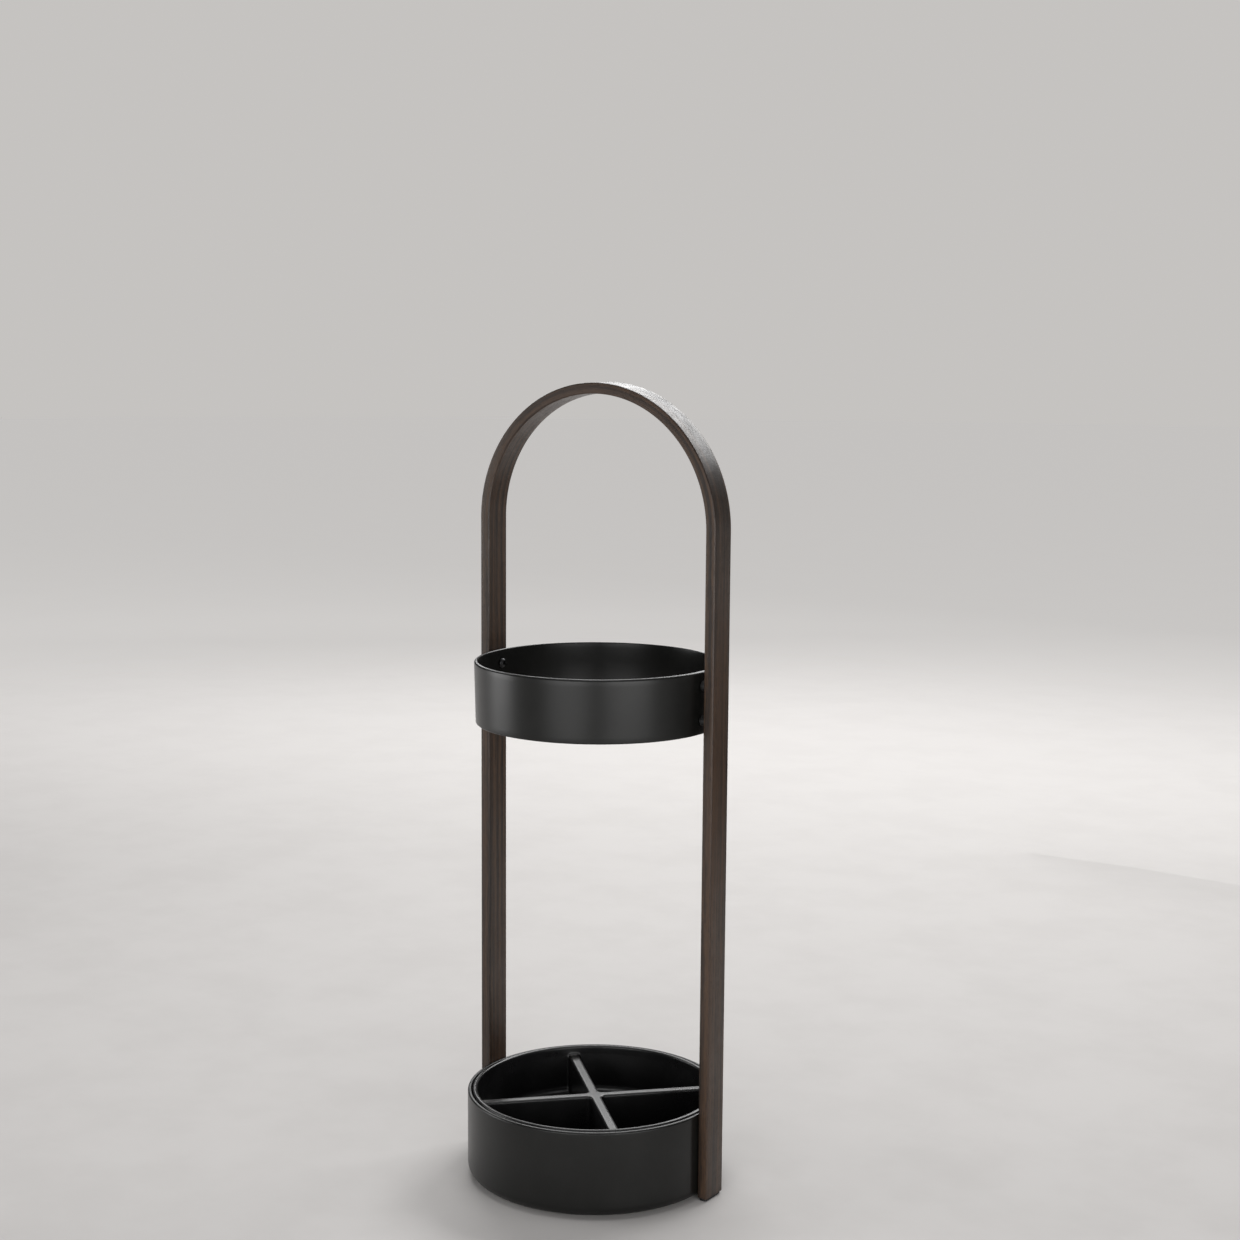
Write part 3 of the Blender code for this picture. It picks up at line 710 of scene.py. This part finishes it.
# ---- Ballast ----------------------------------------------------------------------------
# A disc of cast concrete that keeps the stand upright, hidden below the liner. It was
# poured against a smooth mould, so only small air holes and a troweled top show.
CONCRETE_LIGHT = (0.42, 0.41, 0.39, 1)
CONCRETE_DARK = (0.25, 0.24, 0.23, 1)
BALLAST_CHAMFER = 0.0030
BALLAST_EASING = 0.0020
CHAMFER_EASING = 0.0008
BUSHING_POCKET_RADIUS = 0.0048
BUSHING_POCKET_DEPTH = 0.0096

block_low, block_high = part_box("ballast_block")
block_radius = block_high.x
block_outline = eased_outline(
    [(0, block_low.z, 0), (block_radius - BALLAST_CHAMFER, block_low.z, CHAMFER_EASING),
     (block_radius, block_low.z + BALLAST_CHAMFER, CHAMFER_EASING),
     (block_radius, block_high.z, BALLAST_EASING),
     (0, block_high.z, 0)], closed=False)
cast_ballast = turned("cast_ballast", block_outline, closed=False, steps=144)
drill(cast_ballast, BUSHING_POCKET_RADIUS,
      [((x, y, block_low.z - TOOL_OVERRUN), (x, y, block_low.z + BUSHING_POCKET_DEPTH))
       for _, x, y in ballast_places()])

concrete, tree, shader = new_finish("cast_concrete", Specular_IOR_Level=0.3)
place = node(tree, "TexCoord").outputs["Object"]
cloud = noise(tree, place, 35.0, 6.0, 0.6)
sand = noise(tree, place, 1400.0, 3.0)
holes = node(tree, "TexVoronoi", {"Vector": place, "Scale": 180.0}).outputs["Distance"]
holes = reach(tree, holes, 0.10, 0.16)
colour = blend(tree, reach(tree, cloud, 0.35, 0.7), CONCRETE_LIGHT, CONCRETE_DARK)
colour = blend(tree, reach(tree, sand, 0.55, 0.8, 0.0, 0.4), colour, CONCRETE_DARK)
colour = blend(tree, holes, CONCRETE_DARK, colour)
rough = reach(tree, sand, 0.3, 0.7, 0.82, 0.95)
height = sums(tree, "ADD", sums(tree, "MULTIPLY", sand, 0.3), holes)
set_looks(tree, shader, colour, rough, height, 0.6, 0.00030)

cast_ballast.data.materials.append(concrete)
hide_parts("ballast_block")
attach(cast_ballast, "stand")

# ---- Ballast screws and bushings --------------------------------------------------------
# Three zinc-plated countersunk screws, driven from below into brass bushings cast into
# the concrete.
ZINC_LIGHT = (0.62, 0.62, 0.60, 1)
ZINC_GREY = (0.36, 0.37, 0.38, 1)

zinc_plate, tree, shader = new_finish("zinc_plate", Metallic=1.0)
place = node(tree, "TexCoord").outputs["Object"]
spangle = noise(tree, place, 800.0, 4.0, 0.6)
colour = blend(tree, reach(tree, spangle, 0.4, 0.7), ZINC_LIGHT, ZINC_GREY)
sheen = node(tree, "Group", {"Place": place, "Patches": 400.0, "Smoothest": 0.26, "Roughest": 0.42},
             node_tree=uneven_sheen).outputs["Roughness"]
set_looks(tree, shader, colour, sheen, spangle, 0.15, 0.00004)

for number, x, y in ballast_places():
    low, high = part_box(f"ballast_screw_{number}")
    length = high.z - low.z
    outline = eased_outline([(0, 0, 0), (COUNTERSUNK_HEAD_RADIUS, 0, COUNTERSUNK_RIM_EASING),
                             (COUNTERSUNK_SHANK_RADIUS, COUNTERSUNK_HEAD_HEIGHT, 0),
                             (COUNTERSUNK_SHANK_RADIUS, length, SCREW_TIP_EASING), (0, length, 0)],
                            closed=False)
    screw = turned(f"countersunk_screw_{number}", outline, closed=False, steps=48)
    cut(screw, hexagon_tool(SOCKET_RADIUS, -TOOL_OVERRUN, SOCKET_DEPTH))
    screw.location = (x, y, low.z)
    screw.data.materials.append(zinc_plate)
    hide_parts(f"ballast_screw_{number}")
    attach(screw, "stand")
    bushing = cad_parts[f"ballast_bushing_{number}"]
    bushing.data.materials.clear()
    bushing.data.materials.append(brass)

# ---- Drip liner -------------------------------------------------------------------------
# A lift-out tray moulded in one shot from black silicone: a round lip that rests inside
# the tub's rim, a slightly drafted wall, a flat floor, and a cross of two upright walls
# that parts it into four. Every inner corner has the soft radius of its mould.
LIP_HEIGHT = 0.0070
LIP_INNER_RADIUS = 0.0946
LIP_ROUNDING = 0.0017
LINER_WALL = 0.0019
WALL_TOP_BELOW_RIM = 0.0030   # the thin wall ends inside the lip
LINER_DRAFT = 0.0014
LINER_FLOOR = 0.0025
FLOOR_ROUNDING = 0.0050
UNDER_ROUNDING = 0.0060
DIVIDER_TOP_Z = 0.0634
DIVIDER_THICKNESS = 0.0084
DIVIDER_TOP_ROUNDING = 0.0018
DIVIDER_MEETING_FILLET = 0.0040
DIVIDER_FOOT_FILLET = 0.0025
LINER_MESH_STEP = 0.00125

liner_low, liner_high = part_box("drip_liner")
liner_floor_z = liner_low.z + LINER_FLOOR
lip_outer_radius = liner_high.x
lip_foot_z = liner_high.z - LIP_HEIGHT


def joined(first, second, radius):
    """Two solids as one, with a fillet where they meet."""
    corner = np.hypot(np.maximum(radius - first, 0), np.maximum(radius - second, 0))
    return np.maximum(radius, np.minimum(first, second)) - corner


def shared(first, second, radius):
    """Only what two solids share, with its edge rounded."""
    corner = np.hypot(np.maximum(radius + first, 0), np.maximum(radius + second, 0))
    return np.minimum(-radius, np.maximum(first, second)) + corner


def liner_solid(u, v, z):
    """Roughly how far a point is outside the liner. u and v run along the two dividers."""
    radius = np.hypot(u, v)
    down = np.clip((lip_foot_z - z) / (lip_foot_z - liner_floor_z), 0, 1)
    inner = LIP_INNER_RADIUS - LINER_DRAFT * down
    hollow = shared(radius - inner, liner_floor_z - z, FLOOR_ROUNDING)
    cup = shared(radius - inner - LINER_WALL, liner_low.z - z, UNDER_ROUNDING)
    cup = np.maximum(cup, z - (liner_high.z - WALL_TOP_BELOW_RIM))
    lip_middle = (lip_outer_radius + LIP_INNER_RADIUS) / 2
    lip_half = (lip_outer_radius - LIP_INNER_RADIUS) / 2
    lip = shared(np.abs(radius - lip_middle) - lip_half,
                 np.abs(z - lip_foot_z - LIP_HEIGHT / 2) - LIP_HEIGHT / 2, LIP_ROUNDING)
    lump = np.minimum(cup, lip)
    tray = np.maximum(lump, -hollow)
    tray = np.minimum(tray, lip)
    half = DIVIDER_THICKNESS / 2
    cross = joined(np.abs(u) - half, np.abs(v) - half, DIVIDER_MEETING_FILLET)
    cross = shared(cross, z - DIVIDER_TOP_Z, DIVIDER_TOP_ROUNDING)
    return np.maximum(joined(tray, cross, DIVIDER_FOOT_FILLET), lump)


def slope_of(solid, points, width=2e-5):
    """Which way a solid's outside lies at each point."""
    columns = []
    for axis in range(3):
        nudge = np.zeros(3)
        nudge[axis] = width
        ahead, behind = (points + nudge).T, (points - nudge).T
        columns.append((solid(*ahead) - solid(*behind)) / (2 * width))
    return np.stack(columns, axis=1)


def skin_of(solid, low, high, step):
    """Points, faces and normals over the surface of a solid, on a grid of small cells."""
    counts = [int(math.ceil((b - a) / step)) + 1 for a, b in zip(low, high)]
    grid = np.indices(counts).reshape(3, -1).T * step + np.array(low)
    value = solid(*grid.T).reshape(counts)
    inside = value < 0
    total = np.zeros([n - 1 for n in counts] + [3])
    hits = np.zeros([n - 1 for n in counts], dtype=int)
    crossings = []
    for axis in range(3):
        here = np.moveaxis(inside, axis, 0)
        level = np.moveaxis(value, axis, 0)
        found = np.argwhere(here[:-1] != here[1:])
        share = level[tuple(found.T)] / (level[tuple(found.T)] - level[tuple((found + [1, 0, 0]).T)])
        spot = found.astype(float)
        spot[:, 0] += share
        order = np.argsort([axis] + [other for other in range(3) if other != axis])
        spot, cell = spot[:, order], found[:, order]
        leaving = here[tuple(found.T)]
        others = [other for other in range(3) if other != axis]
        ring = []
        for back_first, back_second in ((1, 1), (0, 1), (0, 0), (1, 0)):
            near = cell.copy()
            near[:, others[0]] -= back_first
            near[:, others[1]] -= back_second
            np.add.at(total, tuple(near.T), spot)
            np.add.at(hits, tuple(near.T), 1)
            ring.append(near)
        crossings.append((ring, leaving if axis != 1 else ~leaving))
    index = np.full(hits.shape, -1)
    index[hits > 0] = np.arange(np.count_nonzero(hits))
    points = total[hits > 0] / hits[hits > 0][:, None] * step + np.array(low)
    for _ in range(6):
        slope = slope_of(solid, points)
        points -= slope * (solid(*points.T) / np.maximum((slope ** 2).sum(1), 0.25))[:, None]
    faces = []
    for ring, leaving in crossings:
        corners = np.stack([index[tuple(cell.T)] for cell in ring], axis=1)
        faces.append(np.where(leaving[:, None], corners, corners[:, ::-1]))
    return points, np.concatenate(faces), slope_of(solid, points)


margin = 2 * LINER_MESH_STEP
points, faces, normals = skin_of(
    liner_solid, (-lip_outer_radius - margin, -lip_outer_radius - margin, liner_low.z - margin),
    (lip_outer_radius + margin, lip_outer_radius + margin, liner_high.z + margin), LINER_MESH_STEP)
quarter = np.array(Matrix.Rotation(math.radians(45), 3, "Z"))
mesh = bpy.data.meshes.new("liner_tray")
mesh.from_pydata((points @ quarter.T).tolist(), [], faces.tolist())
mesh.shade_smooth()
normals = normals / np.linalg.norm(normals, axis=1)[:, None]
mesh.normals_split_custom_set_from_vertices((normals @ quarter.T).tolist())
liner_tray = bpy.data.objects.new("liner_tray", mesh)
bpy.context.collection.objects.link(liner_tray)

SILICONE_BLACK = (0.0055, 0.0054, 0.0056, 1)
SILICONE_GREY = (0.0095, 0.0092, 0.0096, 1)

silicone, tree, shader = new_finish("black_silicone", Specular_IOR_Level=0.5)
place = node(tree, "TexCoord").outputs["Object"]
cloud = noise(tree, place, 40.0, 4.0, 0.6)
colour = blend(tree, reach(tree, cloud, 0.4, 0.68), SILICONE_BLACK, SILICONE_GREY)
dust = node(tree, "Group", {"Place": place, "Scale": 90.0, "Amount": 0.10}, node_tree=settled_dust)
colour = blend(tree, dust.outputs["Mask"], colour, DUST_COLOUR)
sheen = node(tree, "Group", {"Place": place, "Patches": 30.0, "Smoothest": 0.27, "Roughest": 0.33},
             node_tree=uneven_sheen).outputs["Roughness"]
relief = node(tree, "Group", {"Place": place, "Bumps": 1700.0, "Grit": 0.5}, node_tree=fine_relief)
set_looks(tree, shader, colour, sheen, relief.outputs["Height"], 0.15, 0.00006)

liner_tray.data.materials.append(silicone)
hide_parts("drip_liner")
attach(liner_tray, "liner")

# ---- Studio floor -----------------------------------------------------------------------
# A plain pale floor of sealed board, wide enough that its far edge meets the backdrop. Lamps
# out of reach of the stand light its far part, which is done here with a faint glow.
FLOOR_RADIUS = 14.0
FLOOR_STEPS = 96
FLOOR_PALE = (0.63, 0.61, 0.595, 1)
FLOOR_DEEPER = (0.605, 0.585, 0.57, 1)
FLOOR_GLOW = (1.0, 0.975, 0.95, 1)
GLOW_FROM, GLOW_TO, GLOW_STRENGTH = 0.9, 3.4, 0.485

bm = bmesh.new()
bmesh.ops.create_circle(bm, cap_ends=True, segments=FLOOR_STEPS, radius=FLOOR_RADIUS)
floor = piece_of("studio_floor", bm)
pale_floor, tree, shader = new_finish("pale_floor", Specular_IOR_Level=0.15)
place = node(tree, "TexCoord").outputs["Object"]
mottle = noise(tree, place, 9.0, 5.0, 0.6)
colour = blend(tree, reach(tree, mottle, 0.35, 0.7), FLOOR_PALE, FLOOR_DEEPER)
rough = reach(tree, mottle, 0.35, 0.7, 0.70, 0.80)
set_looks(tree, shader, colour, rough, noise(tree, place, 400.0, 2.0), 0.05, 0.0002)
away = node(tree, "VectorMath", {0: place}, operation="LENGTH").outputs["Value"]
glow = reach(tree, away, GLOW_FROM, GLOW_TO, 0.0, GLOW_STRENGTH)
tree.links.new(glow, shader.inputs["Emission Strength"])
shader.inputs["Emission Color"].default_value = FLOOR_GLOW
floor.data.materials.append(pale_floor)

# ---- Studio light -----------------------------------------------------------------------
# A little light from all round, and soft boxes that face the middle of the stand: three low ones
# that the ring mirrors, two windows high behind it and one overhead.
AMBIENT_COLOUR = (0.90, 0.90, 0.92, 1)
AMBIENT_STRENGTH = 0.12
BACKDROP_COLOUR = (0.56, 0.545, 0.53, 1)
LIGHT_TARGET = Vector((0, 0, 0.30))

world = bpy.data.worlds.new("studio")
bpy.context.scene.world = world
world.use_nodes = True
tree = world.node_tree
ambient = tree.nodes["Background"]
ambient.inputs["Color"].default_value = AMBIENT_COLOUR
ambient.inputs["Strength"].default_value = AMBIENT_STRENGTH
backdrop = node(tree, "Background", {"Color": BACKDROP_COLOUR, "Strength": 1.0})
seen = node(tree, "MixShader", {0: node(tree, "LightPath").outputs["Is Camera Ray"], 1: ambient.outputs[0],
                                2: backdrop.outputs[0]})
tree.links.new(seen.outputs[0], tree.nodes["World Output"].inputs["Surface"])


def soft_box(name, azimuth, elevation, distance, width, height, power, spread=180):
    """A soft box. Azimuth 0 is in front, at -Y, and 90 is on the right, at +X."""
    turn, tilt = math.radians(azimuth), math.radians(elevation)
    away = Vector((math.sin(turn) * math.cos(tilt), -math.cos(turn) * math.cos(tilt), math.sin(tilt)))
    lamp = bpy.data.lights.new(name, "AREA")
    lamp.shape = "RECTANGLE"
    lamp.size = width
    lamp.size_y = height
    lamp.energy = power
    lamp.spread = math.radians(spread)
    box = bpy.data.objects.new(name, lamp)
    bpy.context.collection.objects.link(box)
    box.location = LIGHT_TARGET + away * distance
    box.rotation_mode = "QUATERNION"
    box.rotation_quaternion = away.to_track_quat("Z", "Y")
    box.visible_camera = False


# A low black card behind and to the right, never seen itself: only the coated steel mirrors it.
CARD_DISTANCE = 1.2
CARD_HEIGHT = 0.26
CARD_FROM, CARD_TO, CARD_STEPS = 108, 186, 12
CARD_BLACK = (0.006, 0.006, 0.006, 1)
CARD_GREY = (0.012, 0.012, 0.012, 1)

bm = bmesh.new()
posts = []
for step in range(CARD_STEPS + 1):
    turn = math.radians(CARD_FROM + (CARD_TO - CARD_FROM) * step / CARD_STEPS)
    x, y = CARD_DISTANCE * math.sin(turn), -CARD_DISTANCE * math.cos(turn)
    posts.append((bm.verts.new((x, y, 0.001)), bm.verts.new((x, y, CARD_HEIGHT))))
for (low_a, high_a), (low_b, high_b) in zip(posts, posts[1:]):
    bm.faces.new((low_a, low_b, high_b, high_a))
black_card = piece_of("black_card", bm)
card_black, tree, shader = new_finish("card_black", Specular_IOR_Level=0.1)
shade = noise(tree, node(tree, "TexCoord").outputs["Object"], 60.0, 3.0)
colour = blend(tree, shade, CARD_BLACK, CARD_GREY)
set_looks(tree, shader, colour, reach(tree, shade, 0.3, 0.7, 0.85, 0.95), shade, 0.1, 0.0002)
black_card.data.materials.append(card_black)
black_card.visible_camera = False
black_card.visible_shadow = False

soft_box("left_low", azimuth=-64, elevation=4, distance=1.8, width=0.9, height=0.8, power=2.6, spread=90)
soft_box("front_low", azimuth=8, elevation=4, distance=1.8, width=1.3, height=0.8, power=3.0, spread=90)
soft_box("right_low", azimuth=62, elevation=4, distance=1.8, width=1.5, height=0.8, power=3.6, spread=90)
soft_box("back_window", azimuth=176, elevation=38, distance=2.4, width=1.5, height=1.0, power=32)
soft_box("back_left_window", azimuth=-140, elevation=30, distance=2.4, width=1.4, height=1.0, power=21)
soft_box("ceiling", azimuth=0, elevation=88, distance=2.6, width=1.8, height=1.8, power=20)

bpy.context.scene.view_settings.view_transform = "Standard"

# ---- Camera -----------------------------------------------------------------------------
# It stands to the front and right, a little above the arch, and looks slightly down.
CAMERA_PLACE = Vector((0.92825, -1.37315, 0.67951))
CAMERA_HEADING = math.radians(33.456)
CAMERA_DIP = math.radians(7.881)
CAMERA_ROLL = math.radians(0.422)
CAMERA_LENS = 62.03

ahead = Vector((-math.sin(CAMERA_HEADING), math.cos(CAMERA_HEADING), 0))
right = Vector((math.cos(CAMERA_HEADING), math.sin(CAMERA_HEADING), 0))
up = Vector((0, 0, 1))
looking = ahead * math.cos(CAMERA_DIP) - up * math.sin(CAMERA_DIP)
standing = up * math.cos(CAMERA_DIP) + ahead * math.sin(CAMERA_DIP)
camera_right = right * math.cos(CAMERA_ROLL) + standing * math.sin(CAMERA_ROLL)
camera_up = standing * math.cos(CAMERA_ROLL) - right * math.sin(CAMERA_ROLL)
camera = bpy.data.objects.new("camera", bpy.data.cameras.new("camera"))
bpy.context.collection.objects.link(camera)
facing = Matrix((camera_right, camera_up, -looking)).transposed().to_4x4()
camera.matrix_world = Matrix.Translation(CAMERA_PLACE) @ facing
camera.data.lens = CAMERA_LENS
camera.data.sensor_width = 36.0
bpy.context.scene.camera = camera
